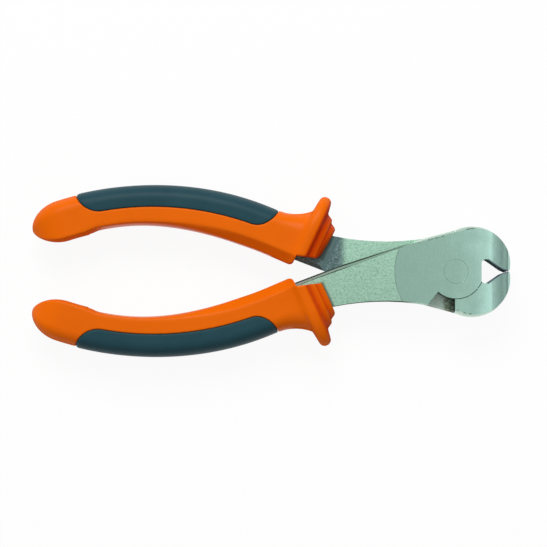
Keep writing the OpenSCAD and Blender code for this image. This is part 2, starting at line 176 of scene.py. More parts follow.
# Rims as rows of distance outward from the border and depth under the surface: the grip's lip, which
# drops to the pad's seat, and the pad's edge from its foot to its top
SEAT_D = 1.2
GRIP_RIM = [(0.55, 0.0), (0.40, 0.015), (0.27, 0.06), (0.16, 0.14), (0.08, 0.26), (0.03, 0.42),
            (-0.03, SEAT_D), (-0.7, SEAT_D)]
PAD_RIM = [(-0.07, 0.55), (-0.11, 0.32), (-0.19, 0.18), (-0.3, 0.09), (-0.45, 0.03), (-0.62, 0.0)]
# Depth of the pad's underside
PAD_BACK = 1.1
# Distance of the net's points from the border: outside it on the grip, inside it on the seat and the pad
NET_CLEAR = 0.75
SEAT_CLEAR = 1.3
PAD_CLEAR = 0.95
# Lengths in metres under which two points are one, and an edge is nothing
SAME_POINT = 2e-6
NO_EDGE = 1e-7


def ease(share):
    """Smooth run from 0 to 1."""
    k = np.clip(share, 0, 1)
    return k * k * (3 - 2 * k)


def root(x):
    """Square root, and 0 below 0."""
    return np.sqrt(np.maximum(x, 0))


def at(s, v):
    """Plan point at s behind the guard along the bend line and v outward from it."""
    s, v = np.broadcast_arrays(np.asarray(s, float), np.asarray(v, float))
    turn = TILT - np.maximum(s, 0) / BEND_R
    out = np.stack([np.sin(turn), -np.cos(turn)], -1)
    centre = GUARD - BEND_R * OUTWARD
    line = centre + BEND_R * out - np.minimum(s, 0)[..., None] * FORWARD
    return line + v[..., None] * out


def bulb_fill(s):
    """Share of the full section: 1 up to the bulb's round end, 0 at its tip."""
    return np.where(s <= ROUND_S, 1.0, np.maximum(1 - ((s - ROUND_S) / BULB_END) ** 2, 0) ** BULB_POWER)


def belly(s):
    """Share of the belly: 1 at the fullest place, 0 at the slimmest."""
    return ease((SLIM_S - s) / (SLIM_S - FULL_S))


def inner_body(s):
    """Reach of the inner edge."""
    front = INNER_SLANT * np.maximum(FULL_S - s, 0)
    bulb = BULB_SWELL * ease((s - NECK_S) / NECK_LEN)
    ledge = LEDGE_H * ease(2 * (s - PAD_TO + PAD_LIP) / PAD_LIP)
    return INNER_REACH + INNER_BELLY * belly(s) - front + bulb + ledge


def outer_body(s):
    """Reach of the outer edge without guard and collar."""
    lip = PAD_PROUD * ease((s - PAD_TO + PAD_LIP) / PAD_LIP)
    return OUTER_REACH + OUTER_BELLY * belly(s) - lip


def rim_round(a):
    """Round of the collar's front rim."""
    return RIM_R * (1 - root(1 - np.clip((a - COLLAR_LEN) / RIM_R + 1, 0, 1) ** 2))


def outer_raw(s):
    """Reach of the outer edge with guard horn and collar steps, its corners sharp."""
    a = -s
    side = HORN_REACH - HORN_W / 2
    base = outer_body(s)
    r = np.where(a > -FILLET_S, base + FILLET_R - root(FILLET_R ** 2 - (a + FILLET_S) ** 2), base)
    r = np.where(a > FLANK_A, FILLET_TOP + (side - FILLET_TOP) * (a - FLANK_A) / HORN_FLANK, r)
    r = np.where(a > HORN_FROM, side + root((HORN_W / 2) ** 2 - (a - HORN_A) ** 2), r)
    r = np.where(a > HORN_TO, side + (STEP_REACH - side) * (a - HORN_TO) / RIDGE_FRONT, r)
    r = np.where(a > STEP_FROM, STEP_REACH - STEP_SLANT * (a - STEP_FROM), r)
    return r - np.where(a > STEP_MID, STEP_DROP + rim_round(a), 0)


def half_z_raw(s):
    """Half thickness with ridge and collar steps, its corners sharp."""
    a = -s
    base = GRIP_T / 2 + GRIP_SWELL * belly(s)
    up = np.clip((a - FLANK_A) / RIDGE_FILLET + 1, 0, 1)
    bead = root(1 - (2 * (a - HORN_A) / HORN_W) ** 2)
    z = base + RIDGE_H / 2 * (1 - root(1 - up ** 2))
    z = np.where(a > HORN_FROM, base + RIDGE_H / 2 * (1 + bead), z)
    z = np.where(a > HORN_TO, base + RIDGE_H / 2 * (STEP_FROM - a) / RIDGE_FRONT, z)
    z = np.where(a > STEP_FROM, base - STEP_SLOPE * (a - STEP_FROM), z)
    return z - np.where(a > STEP_MID, STEP_Z + rim_round(a), 0)


def smooth_table(raw, sigma):
    """A function along the whole grip with a Gaussian round of its corners, read from samples."""
    x = np.arange(-COLLAR_LEN, GRIP_LEN + SAMPLE / 2, SAMPLE)
    n = int(4 * sigma / SAMPLE) + 1
    k = np.exp(-0.5 * (np.arange(-n, n + 1) * SAMPLE / sigma) ** 2)
    y = np.convolve(np.pad(raw(x), n, mode="edge"), k / k.sum(), "valid")
    return lambda s: np.interp(s, x, y)


outer_edge = smooth_table(outer_raw, EDGE_ROUND)
crisp_z = smooth_table(half_z_raw, CRISP_ROUND)
mellow_z = smooth_table(half_z_raw, MELLOW_ROUND)


def half_z(s):
    """Half thickness: the ridge runs softly into the hollow behind it and stays crisp in front."""
    k = ease((-s - HORN_A + CRISP_LEAD) / CRISP_RUN)
    return k * crisp_z(s) + (1 - k) * mellow_z(s)


def opening_limit(a):
    """Lowest reach left of the section where the collar's inner side opens."""
    edge = float(inner_body(OPEN_ROUND - OPEN_A))
    if a <= OPEN_A - OPEN_ROUND:
        return -math.inf
    if a <= OPEN_A:
        return OPEN_ROUND - edge - math.sqrt(max(OPEN_ROUND ** 2 - (a - OPEN_A + OPEN_ROUND) ** 2, 0))
    return -OPEN_REACH + (a - OPEN_A) * OPEN_SLANT


def rounded(v, z, sigma):
    """A half section closed to a ring, its corners rounded along the arc, and thinned to HALF_N rows."""
    ring_v = np.concatenate([v, v[-2:0:-1]])
    ring_z = np.concatenate([z, -z[-2:0:-1]])
    # The small length added to each step keeps the arc rising where points coincide
    step = np.hypot(np.diff(np.append(ring_v, ring_v[0])), np.diff(np.append(ring_z, ring_z[0]))) + 1e-7
    arc = np.concatenate([[0], np.cumsum(step)])
    places = np.arange(RING_N) / RING_N * arc[-1]
    share = sigma / arc[-1]
    damp = np.exp(-2 * (math.pi * np.fft.rfftfreq(RING_N, 1 / RING_N) * share) ** 2)
    rows = []
    for ring in (ring_v, ring_z):
        waves = np.fft.rfft(np.interp(places, arc, np.append(ring, ring[0])))
        even = np.fft.irfft(waves * damp, RING_N)
        rows.append(np.interp(arc[:len(v):FINE], np.append(places, arc[-1]), np.append(even, even[0])))
    half = np.stack(rows, -1)
    half[0, 1] = half[-1, 1] = 0
    return half


def section(s):
    """Half section at s, from the outer mid line over the face to the inner one, as rows of (v, z)."""
    full = float(bulb_fill(s))
    mid = float(outer_body(ROUND_S) - inner_body(ROUND_S)) / 2
    edge = float(outer_edge(s))
    inner = mid - full * (float(inner_body(s)) + mid)
    outer = mid + full * (edge - mid) if s > ROUND_S else edge
    top = full * float(half_z(s))
    to_slim = (s - FULL_S) / (SLIM_S - FULL_S)
    facet = full * (FACET_W + (FACET_REAR - FACET_W) * float(ease(to_slim)))
    deeper = float(ease((s / SLIM_S - FACET_DEEP_FROM) / FACET_DEEP_RUN))
    drop = full * FACET_D * (1 + FACET_DEEPER * deeper)
    power = FACET_POWER / (1 + FACET_SOFTER * float(ease(to_slim / FACET_SOFT_SHARE)))
    nose = full * (NOSE_LEN + NOSE_GROW * max(edge - float(outer_body(s)), 0))
    nose_turn = np.linspace(math.pi / 2, 0, N_NOSE * FINE + 1)
    flat_run = np.linspace(0, 1, N_FLAT * FINE + 1)
    facet_turn = np.linspace(math.pi / 2, 0, N_FACET * FINE + 1)
    wall_run = np.linspace(0, 1, N_WALL * FINE + 1)
    v = np.concatenate([
        outer - nose + nose * np.sin(nose_turn) ** NOSE_POWERS[0],
        (outer - nose + (inner + facet - outer + nose) * flat_run)[1:],
        (inner + facet * (1 - root(np.cos(facet_turn)) ** power))[1:],
        np.full(len(wall_run) - 1, inner)])
    z = np.concatenate([
        top * root(np.cos(nose_turn)) ** NOSE_POWERS[1],
        np.full(len(flat_run) - 1, top),
        (top - drop + drop * root(np.sin(facet_turn)) ** power)[1:],
        ((top - drop) * (1 - wall_run))[1:]])
    v = np.maximum(v, opening_limit(-s))
    # Near the bulb's tip the round stays above a small share, so that it never comes to nothing
    return rounded(v, z, SECTION_ROUND * max(full, 0.02))


def to_space(s, v, z):
    """Grip coordinates to the front lever's place, in metres."""
    s, v, z = np.broadcast_arrays(np.asarray(s, float), v, z)
    # The collar's front edge slants on the side of the lap
    lean = ease((-s - STEP_MID - LEAN_START) / (COLLAR_LEN - STEP_MID - LEAN_START)) * ease(-z / LEAN_Z)
    lean = lean * np.maximum(float(outer_edge(-COLLAR_LEN)) - v, 0) * LAP_SLANT
    plan = at(s, v) - lean[..., None] * FORWARD
    return np.concatenate([plan, (z + MID)[..., None]], -1) * MM


TABLE_S = np.arange(TABLE_FROM, TABLE_TO + TABLE_STEP / 2, TABLE_STEP)
TABLE = np.stack([section(s) for s in TABLE_S])
# Arc places of the section's rows, taken in the middle of the table
ARC = np.concatenate([[0], np.cumsum(np.hypot(*np.diff(TABLE[len(TABLE_S) // 2], axis=0).T))])


def skin(s, l):
    """Points (v, z) of the plain grip surface at arrays of s and l, read between the table's rows."""
    # Both numbers stop just short of the last row and column, so that there is always a next one
    i = np.clip((s - TABLE_FROM) / TABLE_STEP, 0, len(TABLE_S) - 1.001)
    j = np.clip(np.interp(np.abs(l), ARC, np.arange(HALF_N)), 0, HALF_N - 1.001)
    i0, j0 = i.astype(int), j.astype(int)
    di, dj = (i - i0)[:, None], (j - j0)[:, None]
    here = TABLE[i0, j0] * (1 - dj) + TABLE[i0, j0 + 1] * dj
    after = TABLE[i0 + 1, j0] * (1 - dj) + TABLE[i0 + 1, j0 + 1] * dj
    points = here * (1 - di) + after * di
    points[:, 1] *= np.where(l < 0, -1, 1)
    return points


def skin_space(s, l, depth):
    """The same in space, sunk by depth along the surface's normal."""
    def place(s, l):
        points = skin(s, l)
        return points[:, 0], points[:, 1]

    p = to_space(s, *place(s, l))
    before, after = s - NORMAL_STEP, s + NORMAL_STEP
    low, high = np.maximum(l - NORMAL_STEP, -ARC[-1]), np.minimum(l + NORMAL_STEP, ARC[-1])
    along = to_space(after, *place(after, l)) - to_space(before, *place(before, l))
    across = to_space(s, *place(s, high)) - to_space(s, *place(s, low))
    normal = np.cross(along, across)
    normal /= np.linalg.norm(normal, axis=1)[:, None]
    # Outward is away from the bend line
    line = to_space(s, np.zeros(len(s)), np.zeros(len(s)))
    normal *= np.sign(np.einsum("ij,ij->i", normal, p - line))[:, None]
    return p - normal * (depth * MM)[:, None]


def pad_line():
    """The pad's border over the upper half, from its front end to its rear end, as rows of (s, l)."""
    edge = OUTER_REACH + OUTER_BELLY
    turn = np.radians(np.linspace(0, 90, END_N))
    s = np.concatenate([PAD_FROM + PAD_FRONT * (1 - np.cos(turn)),
                        np.linspace(PAD_FROM + PAD_FRONT, PAD_TO - PAD_REAR, SIDE_N)[1:-1],
                        PAD_TO - PAD_REAR * (1 - np.cos(turn[::-1]))])
    v = np.concatenate([edge - (edge + LINE_FRONT) * np.sin(turn),
                        -np.linspace(LINE_FRONT, LINE_REAR, SIDE_N)[1:-1],
                        edge - (edge + LINE_REAR) * np.sin(turn[::-1])])
    l = np.zeros(len(s))
    face_n = N_NOSE + N_FLAT + 1
    for k in range(1, len(s) - 1):
        row = TABLE[int(round((s[k] - TABLE_FROM) / TABLE_STEP)), :face_n]
        l[k] = np.interp(-v[k], -row[:, 0], ARC[:face_n])
    arc = np.concatenate([[0], np.cumsum(np.hypot(np.diff(s), np.diff(l)))])
    q = np.linspace(0, arc[-1], BORDER_N)
    return np.stack([np.interp(q, arc, s), np.interp(q, arc, l)], -1)


BORDER = pad_line()


def offset_line(d):
    """The pad's border moved outward by d, its ends kept on the mid line."""
    mirror = [1, -1]
    line = np.concatenate([BORDER[:0:-1] * mirror, BORDER, BORDER[-2::-1] * mirror])
    k = np.exp(-0.5 * (np.arange(-BLUR_N, BLUR_N + 1) / BLUR_SPREAD) ** 2)
    k /= k.sum()
    line = np.stack([np.convolve(np.pad(c, BLUR_N, mode="edge"), k, "valid") for c in line.T], -1)
    run = np.gradient(line, axis=0)
    normal = np.stack([-run[:, 1], run[:, 0]], -1) / np.linalg.norm(run, axis=1)[:, None]
    out = (line + normal * d)[BORDER_N - 1:2 * BORDER_N - 1]
    out[0, 1] = out[-1, 1] = 0
    return out


def inside(line, s, l):
    """True where a place is on the pad's side of a line."""
    return l < np.interp(s, line[:, 0], line[:, 1], left=-1, right=-1)


def chain(first, count):
    """Edges through count points in a row."""
    return [(first + i, first + i + 1) for i in range(count - 1)]


class Net:
    """Points of the (s, l) plane with depths under the surface, and the edges that a triangulation keeps."""

    def __init__(self):
        self.points = []
        self.depths = []
        self.edges = []

    def put(self, s, l, depth):
        """Adds one point."""
        self.points.append((s, l))
        self.depths.append(depth)

    def row(self, places, depth):
        """Adds points of one depth, joined by edges."""
        self.edges += chain(len(self.points), len(places))
        for s, l in places:
            self.put(s, l, depth)

    def rim(self, rows):
        """Adds the border once for each row of a rim."""
        for outward, depth in rows:
            self.row(offset_line(outward), depth)

    def triangles(self):
        """Places, depths, the number each point had here, and the faces."""
        verts, _, faces, origin, _, _ = geometry.delaunay_2d_cdt(
            [Vector(p) for p in self.points], self.edges, [], 0, 1e-6)
        number = [o[0] for o in origin]
        depths = np.array([self.depths[i] for i in number])
        return np.array([tuple(v) for v in verts]), depths, number, [tuple(f) for f in faces]


def add_sheet(verts, faces, places, depths, triangles, side, outward):
    """Adds a net in space, side 1 above and -1 below, and returns the number of its first point."""
    base = len(verts)
    verts.extend(skin_space(places[:, 0], places[:, 1] * side, depths))
    for t in triangles:
        order = t if (side > 0) == outward else t[::-1]
        faces.append(tuple(base + i for i in order))
    return base


def add_rings(verts, faces, places):
    """Adds whole sections joined by faces, and returns their first point and the count in a ring."""
    base = len(verts)
    n = 2 * HALF_N - 2
    for s in places:
        half = section(s)
        ring = np.concatenate([half, half[-2:0:-1] * [1, -1]])
        verts.extend(to_space(s, ring[:, 0], ring[:, 1]))
    for i in range(len(places) - 1):
        low, high = base + i * n, base + (i + 1) * n
        for j in range(n):
            k = (j + 1) % n
            faces.append((low + j, low + k, high + k, high + j))
    return base, n


def grip_mesh():
    """Points and faces of a grip body in the front lever's place."""
    verts, faces = [], []

    # Guard and collar, closed by a cap at the front. The first ring stays a hair behind the edge
    a = np.concatenate([
        COLLAR_LEN - FRONT_RINGS - 1e-4,
        np.arange(COLLAR_LEN - FINE_FROM, FINE_TO, -FINE_RING),
        np.arange(COARSE_A, -NET_FROM, -COARSE_RING)])
    base, n = add_rings(verts, faces, np.append(-a[a > -NET_FROM + COARSE_RING / 3], NET_FROM))
    verts.append(np.append(at(-COLLAR_LEN, CAP_V), MID) * MM)
    for j in range(n):
        faces.append((base + j, base + (j + 1) % n, len(verts) - 1))

    # Bulb, closed at its tip
    turn = np.radians(np.linspace(0, TIP_ANGLE, TIP_RINGS))
    straight = np.linspace(NET_TO, ROUND_S, BULB_RINGS)[:-1]
    places = np.concatenate([straight, ROUND_S + BULB_END * np.sin(turn)])
    base, n = add_rings(verts, faces, places)
    last = base + (len(places) - 1) * n
    end = section(places[-1])
    verts.append(to_space(GRIP_LEN, (end[0, 0] + end[-1, 0]) / 2, 0.0))
    for j in range(n):
        faces.append((last + (j + 1) % n, last + j, len(verts) - 1))

    # Padded stretch: the surface sinks to the pad's seat inside the border
    net = Net()
    for s in (NET_FROM, NET_TO):
        net.row([(s, l) for l in ARC], 0.0)
    net.rim(GRIP_RIM)
    outside = offset_line(NET_CLEAR)
    for s in np.arange(NET_FROM + NET_ENDS[0], NET_TO - NET_ENDS[1], NET_STEP):
        for j, l in enumerate(ARC):
            # Every second place is enough on the flat face
            on_flat = N_NOSE < j < N_NOSE + N_FLAT
            if not (on_flat and j % 2) and not inside(outside, s, l):
                net.put(s, l, 0.0)
    seat = offset_line(-SEAT_CLEAR)
    for s in np.arange(NET_FROM + SEAT_ENDS[0], NET_TO - SEAT_ENDS[1], SEAT_STEP):
        for l in ARC[::4]:
            if inside(seat, s, l):
                net.put(s, l, SEAT_D)
    places, depths, _, triangles = net.triangles()
    for side in (1, -1):
        add_sheet(verts, faces, places, depths, triangles, side, True)
    return np.array(verts), faces


def pad_mesh():
    """Points and faces of a soft pad in the front lever's place, with a round rim and a closed underside."""
    net = Net()
    net.rim(PAD_RIM)
    crown = offset_line(-PAD_CLEAR)
    for s in np.arange(PAD_FROM + PAD_ENDS[0], PAD_TO - PAD_ENDS[1], NET_STEP):
        for j, l in enumerate(ARC):
            # Every second place is enough behind the outer round
            if not (j > N_NOSE and j % 2) and inside(crown, s, l):
                net.put(s, l, 0.0)
    places, depths, number, triangles = net.triangles()
    foot = offset_line(PAD_RIM[0][0])
    # Triangles by their middles, with a hair of room at the line
    kept = []
    for t in triangles:
        s, l = places[list(t)].mean(0)
        if inside(foot, s, l - 1e-6):
            kept.append(t)
    # Points of the foot in their order, to join skin and underside
    wall = sorted((i for i, o in enumerate(number) if o < BORDER_N), key=lambda i: number[i])
    verts, faces = [], []
    for side in (1, -1):
        top = add_sheet(verts, faces, places, depths, kept, side, True)
        under = add_sheet(verts, faces, places, np.maximum(depths, PAD_BACK), kept, side, False)
        for i, j in zip(wall[:-1], wall[1:]):
            faces.append((top + i, top + j, under + j, under + i))
    return np.array(verts), faces


def turned(points):
    """Points of the front lever turned over about X in the joint's middle, to the rear lever's place."""
    q = np.array(points)
    q[:, 1] *= -1
    q[:, 2] = 2 * MID * MM - q[:, 2]
    return q


def make(name, verts, faces, material, body, node):
    """A smooth piece that stands for a CAD node, from points in metres, with its doubles joined."""
    mesh = bpy.data.meshes.new(name)
    bm = bmesh.new()
    points = [bm.verts.new(v) for v in verts]
    for f in faces:
        bm.faces.new([points[i] for i in f])
    bmesh.ops.remove_doubles(bm, verts=bm.verts, dist=SAME_POINT)
    bmesh.ops.dissolve_degenerate(bm, edges=bm.edges, dist=NO_EDGE)
    bmesh.ops.recalc_face_normals(bm, faces=bm.faces)
    bm.to_mesh(mesh)
    bm.free()
    mesh.polygons.foreach_set("use_smooth", [True] * len(mesh.polygons))
    o = bpy.data.objects.new(name, mesh)
    bpy.context.scene.collection.objects.link(o)
    mesh.materials.append(material)
    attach(o, body)
    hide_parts(node)


def nodes_of(name):
    """A new material with only its output and a principled shader."""
    m = bpy.data.materials.new(name)
    m.use_nodes = True
    t = m.node_tree
    t.nodes.clear()
    out = t.nodes.new("ShaderNodeOutputMaterial")
    p = t.nodes.new("ShaderNodeBsdfPrincipled")
    t.links.new(p.outputs["BSDF"], out.inputs["Surface"])
    return m, t, p


def feed(t, socket, value):
    """Sets an input to a number or a colour, or links it to an output."""
    if isinstance(value, (int, float)):
        socket.default_value = value
    elif isinstance(value, tuple):
        socket.default_value = (*value, 1)
    else:
        t.links.new(value, socket)


def noise(t, coords, scale, detail=3.0, rough=0.55):
    """Noise from 0 to 1 with features of about 1 / scale metres."""
    n = t.nodes.new("ShaderNodeTexNoise")
    feed(t, n.inputs["Vector"], coords)
    feed(t, n.inputs["Scale"], scale)
    feed(t, n.inputs["Detail"], detail)
    feed(t, n.inputs["Roughness"], rough)
    return n.outputs["Fac"]


def ramp(t, value, stops):
    """A colour from stops of (value, colour)."""
    n = t.nodes.new("ShaderNodeValToRGB")
    elements = n.color_ramp.elements
    while len(elements) < len(stops):
        elements.new(0.5)
    for e, (place, colour) in zip(elements, stops):
        e.position = place
        e.color = (*colour, 1)
    feed(t, n.inputs["Fac"], value)
    return n.outputs["Color"]


def spread(t, value, lo, hi, to_lo, to_hi, kind="LINEAR"):
    """The value's run from lo to hi carried over to the run from to_lo to to_hi, and held beyond it."""
    n = t.nodes.new("ShaderNodeMapRange")
    n.interpolation_type = kind
    feed(t, n.inputs["Value"], value)
    feed(t, n.inputs["From Min"], lo)
    feed(t, n.inputs["From Max"], hi)
    feed(t, n.inputs["To Min"], to_lo)
    feed(t, n.inputs["To Max"], to_hi)
    return n.outputs["Result"]


def soft(t, value, lo, hi):
    """0 at lo and 1 at hi, with an even run between; lo may be the larger one."""
    return spread(t, value, lo, hi, 0, 1, "SMOOTHSTEP")


def math_node(t, kind, *values):
    """A math node of its values."""
    n = t.nodes.new("ShaderNodeMath")
    n.operation = kind
    for socket, value in zip(n.inputs, values):
        feed(t, socket, value)
    return n.outputs["Value"]


def chained(t, kind, values):
    """A math operation through all values."""
    result = values[0]
    for value in values[1:]:
        result = math_node(t, kind, result, value)
    return result


def times(t, *values):
    """Product."""
    return chained(t, "MULTIPLY", values)


def plus(t, *values):
    """Sum."""
    return chained(t, "ADD", values)


def most(t, *values):
    """Largest value."""
    return chained(t, "MAXIMUM", values)


def minus(t, a, b):
    """Difference."""
    return math_node(t, "SUBTRACT", a, b)


def size_of(t, value):
    """Value without its sign."""
    return math_node(t, "ABSOLUTE", value)


def distance(t, a, b):
    """Length of the way a along one axis and b along the other."""
    return math_node(t, "SQRT", plus(t, times(t, a, a), times(t, b, b)))


def toward(t, x, y, direction):
    """Length of (x, y) along a plan direction."""
    return plus(t, times(t, x, float(direction[0])), times(t, y, float(direction[1])))


def mixed(t, share, a, b):
    """Colour between a and b."""
    n = t.nodes.new("ShaderNodeMix")
    n.data_type = "RGBA"
    for i, value in ((0, share), (6, a), (7, b)):
        feed(t, n.inputs[i], value)
    return n.outputs[2]


def mixed_value(t, share, a, b):
    """Number between a and b."""
    n = t.nodes.new("ShaderNodeMix")
    n.data_type = "FLOAT"
    for i, value in ((0, share), (2, a), (3, b)):
        feed(t, n.inputs[i], value)
    return n.outputs[0]


def split(t, socket):
    """The three numbers of a vector."""
    n = t.nodes.new("ShaderNodeSeparateXYZ")
    feed(t, n.inputs[0], socket)
    return n.outputs["X"], n.outputs["Y"], n.outputs["Z"]


def stretched(t, coords, scale):
    """Coordinates scaled apart along X, Y and Z, for drawn-out grain."""
    n = t.nodes.new("ShaderNodeMapping")
    n.inputs["Scale"].default_value = scale
    feed(t, n.inputs["Vector"], coords)
    return n.outputs["Vector"]


def bump(t, p, height, depth, strength):
    """Grain on a shader, depth metres for a height of 1."""
    n = t.nodes.new("ShaderNodeBump")
    feed(t, n.inputs["Height"], height)
    feed(t, n.inputs["Distance"], depth)
    feed(t, n.inputs["Strength"], strength)
    feed(t, p.inputs["Normal"], n.outputs["Normal"])


# Most values of a noise lie in this run
NOISE_RUN = (0.3, 0.7)
# Plastics: scale of the slow change in colour, change in roughness, depth and strength of the grain
PLASTIC_CLOUD = 60
ROUGH_LESS, ROUGH_MORE = 0.04, 0.06
GRAIN_DEPTH, GRAIN_STRENGTH = 0.00002, 0.35
# Painted shade on the collar's steps, a deeper orange on their forward faces, stronger on the rear grip: its
# colour, where it starts behind them, the turn of the faces that take it, and how much of it from the foot
# to the front of a step on the front and the rear grip
STEP_SHADE = (0.60, 0.036, 0.0005)
COLLAR_RUN = (-0.0016, -0.0006)
STEP_TURN = (0.05, 0.4)
STEP_SHARE = (0.1, 0.8)
FRONT_STEP_SHADE = (0.7, 0.15)
REAR_STEP_SHADE = (0.95, 0.5)
# Matt side walls: of the guard, behind the steps, and of the bulb, along X
GUARD_RUN = (-0.012, -0.009)
BULB_RUN = (-0.116, -0.124)
SIDE_TURN = (0.5, 0.25)
MATT_ROUGH = 0.95


def plastic(name, colour, dark, rough, grain, specular, side=0):
    """Moulded plastic with a fine grain. side is 1 on the front grip, -1 on the rear one and 0 on the pads;
    on the grips the collar's steps take a painted shade of deeper orange, stronger on the rear grip, and the
    side walls of guard and bulb are matt."""
    m, t, p = nodes_of(name)
    co = t.nodes.new("ShaderNodeTexCoord")
    obj = co.outputs["Object"]
    cloud = noise(t, obj, PLASTIC_CLOUD, 2)
    fine = noise(t, obj, grain, 3)
    tint = ramp(t, cloud, [(0.3, dark), (0.62, colour)])
    gloss = spread(t, fine, *NOISE_RUN, rough - ROUGH_LESS, rough + ROUGH_MORE)
    if side:
        x, y, _ = split(t, obj)
        nx, ny, nz = split(t, co.outputs["Normal"])
        forward = FORWARD * [1, side]
        along = toward(t, x, y, forward)
        start = float(GUARD @ FORWARD + STEP_FROM) * MM
        on_collar = soft(t, along, start + COLLAR_RUN[0], start + COLLAR_RUN[1])
        faces_front = soft(t, toward(t, nx, ny, forward), *STEP_TURN)
        on_step = math_node(t, "FRACT", times(t, most(t, minus(t, along, start), 0.0), 1 / (STEP_LEN * MM)))
        depth = spread(t, on_step, *STEP_SHARE, *(FRONT_STEP_SHADE if side > 0 else REAR_STEP_SHADE))
        # Painted shade: the steps' forward faces turn a deeper orange
        tint = mixed(t, times(t, on_collar, faces_front, depth), tint, STEP_SHADE)
        at_guard = soft(t, along, start + GUARD_RUN[0], start + GUARD_RUN[1])
        ends = most(t, at_guard, soft(t, x, *BULB_RUN))
        matt = times(t, ends, soft(t, size_of(t, nz), *SIDE_TURN))
        gloss = mixed_value(t, matt, gloss, MATT_ROUGH)
    feed(t, p.inputs["Base Color"], tint)
    feed(t, p.inputs["Roughness"], gloss)
    feed(t, p.inputs["Specular IOR Level"], specular)
    bump(t, p, fine, GRAIN_DEPTH, GRAIN_STRENGTH)
    return m


# Lines on the front half in plan, in metres, as they follow from the part's source: radius of the ground
# circle, main and fine bevel of the eye as the place on X and the slope, the head's straight edge as its
# distance from the pivot and its slope, the round of the jaw's face as its middle and radius
GROUND_R = 0.0205
MAIN_BEVEL = (0.01634, 0.6745)
FINE_BEVEL = (0.01716, 0.3839)
HEAD_EDGE = 0.01316
HEAD_SLOPE = math.radians(15)
JAW_X, JAW_Y, JAW_R = 0.0056, 0.0026, 0.01229

# Runs of the steel's masks, each from none to full. Along an axis or radius they are in metres, and for
# a face's turn they are parts of its normal. Steep walls, level faces, edges that lean a little:
WALL = (0.9, 0.6)
LEVEL = (0.6, 0.9)
EDGE = (0.995, 0.96)
# Edge of the ground circle, faces of the lap outside the bosses, the notch beside the jaw, the joint's lines
GROUND_EDGE = (GROUND_R - 0.0002, GROUND_R + 0.0002)
LAP_FACE = (0.0008, 0.0004)
PAST_BOSS = (0.0085, 0.0095)
NOTCH_R = (0.0175, 0.0155)
JOINT_R = (0.0099, 0.0096)
PAST_RIVET = (0.0044, 0.0046)
# Side of a half towards the other one, and its shaded end at the collar
COVERED = (-0.0008, -0.0002)
SHADED_X = (-0.0358, -0.0392)
# Walls of the eye, and the narrow rim along its bevels, where shade is painted dark
EYE_TURN = (0.15, -0.15)
EYE_X = (0.0068, 0.0078)
BEVEL_RIM = (0.0006, 0.0003)
RIM_X = (0.0102, 0.0108)
# Slanting inner wall of the shank with its two dark lines, and the heel's wall, which takes a painted shade
STRIP_TURN = (0.45, 0.65)
STRIP_X = (-0.012, -0.026)
LINE_NEAR = (0.0015, 0.0009)
LINE_FAR = (0.0022, 0.0026)
LINE_X = (-0.014, -0.03)
HEEL_TURN = (-0.4, -0.7)
HEEL_X = ((-0.004, -0.003), (0.004, 0.003))
# Outer walls of shank and jaw
SHANK_X = (-0.012, -0.02)
JAW_WALL_X = (0.0105, 0.0135)
# Painted highlight along the head's edge: from its straight part to its round part, its ends, and its width
# along X
EDGE_CHANGE_X = (0.0020, 0.0028)
RIM_HIGHLIGHT_X = (-0.0145, -0.0125)
RIM_HIGHLIGHT_Y = (0.0, 0.002)
RIM_HIGHLIGHT_WIDTH = (0.004, 0.012, 0.00062, 0.0002)
RIM_HIGHLIGHT_IN = (-0.00005, 0.00015)
BRINK_IN = (-0.00028, -0.0001)
BRINK_OUT = (0.00018, 0.0)
BRINK_X = (0.0075, 0.006)
# Painted shade in the crevice in front of the collar: along the grip, from the end of the opening outward,
# and its strength
CREVICE_RUN = (0.0012, 0.0001)
CREVICE_SIDE = 0.0006
CREVICE_SHARE = 0.75
# Flare of the jaws, eased by a shallow shading slope: start and end, and the height there for the bump
FLARE = (0.006, 0.0165, 0, 8.0)
# Runs along X of the colours of the ground face with its painted sheen, the slanting inner wall and the
# notch with their painted shade, and how far noise moves the first and the last of them
GROUND_SHEEN_X = (-0.018, 0.011)
INNER_WALL_X = (-0.052, -0.018)
NOTCH_X = (-0.005, -0.001)
CLOUD_SHIFT = 0.02
BLOT_SHIFT = 0.004
# Scales of the steel's noises: marks of grinding drawn out along Y, slow change, pits, blots and specks
MARKS_SCALE = (5200, 420, 900)
CLOUD_SCALE = 150
PITS_SCALE = 1600
BLOT_SCALE = 700
SPECKS_SCALE = 2100
SPECKS_RUN = (0.34, 0.27)
# Height of the grinding marks beside the pits, and depth and strength of the bump
MARKS_HEIGHT = 0.006
STEEL_DEPTH, STEEL_STRENGTH = 0.0001, 0.6

# Colours of the steel: ground face from the handle to the jaws, lighter towards the jaws as a painted sheen,
# forging from pit to rise
GROUND_SHEEN_TINTS = [(0.0, (0.35, 0.57, 0.475)), (0.5, (0.38, 0.615, 0.51)),
                (0.85, (0.46, 0.73, 0.63)), (1.0, (0.53, 0.83, 0.73))]
FORGING_TINTS = [(0.3, (0.26, 0.45, 0.345)), (0.5, (0.39, 0.635, 0.49)), (0.7, (0.47, 0.74, 0.59))]
SPECK = (0.08, 0.12, 0.09)
DARK_WALL = (0.03, 0.04, 0.036)
# Painted highlight along the head's edge, and the dark dashes inside it
RIM_HIGHLIGHT = (0.70, 0.88, 0.76)
BRINK = (0.08, 0.10, 0.08)
# Slanting inner wall from the collar to the crossing, darkest near the collar as a painted shade, and its
# dark lines
STRIP_SHADE_TINTS = [(0.0, (0.34, 0.43, 0.37)), (0.32, (0.29, 0.39, 0.32)),
               (0.47, (0.24, 0.36, 0.29)), (1.0, (0.28, 0.43, 0.34))]
STRIP_LINE = (0.02, 0.024, 0.02)
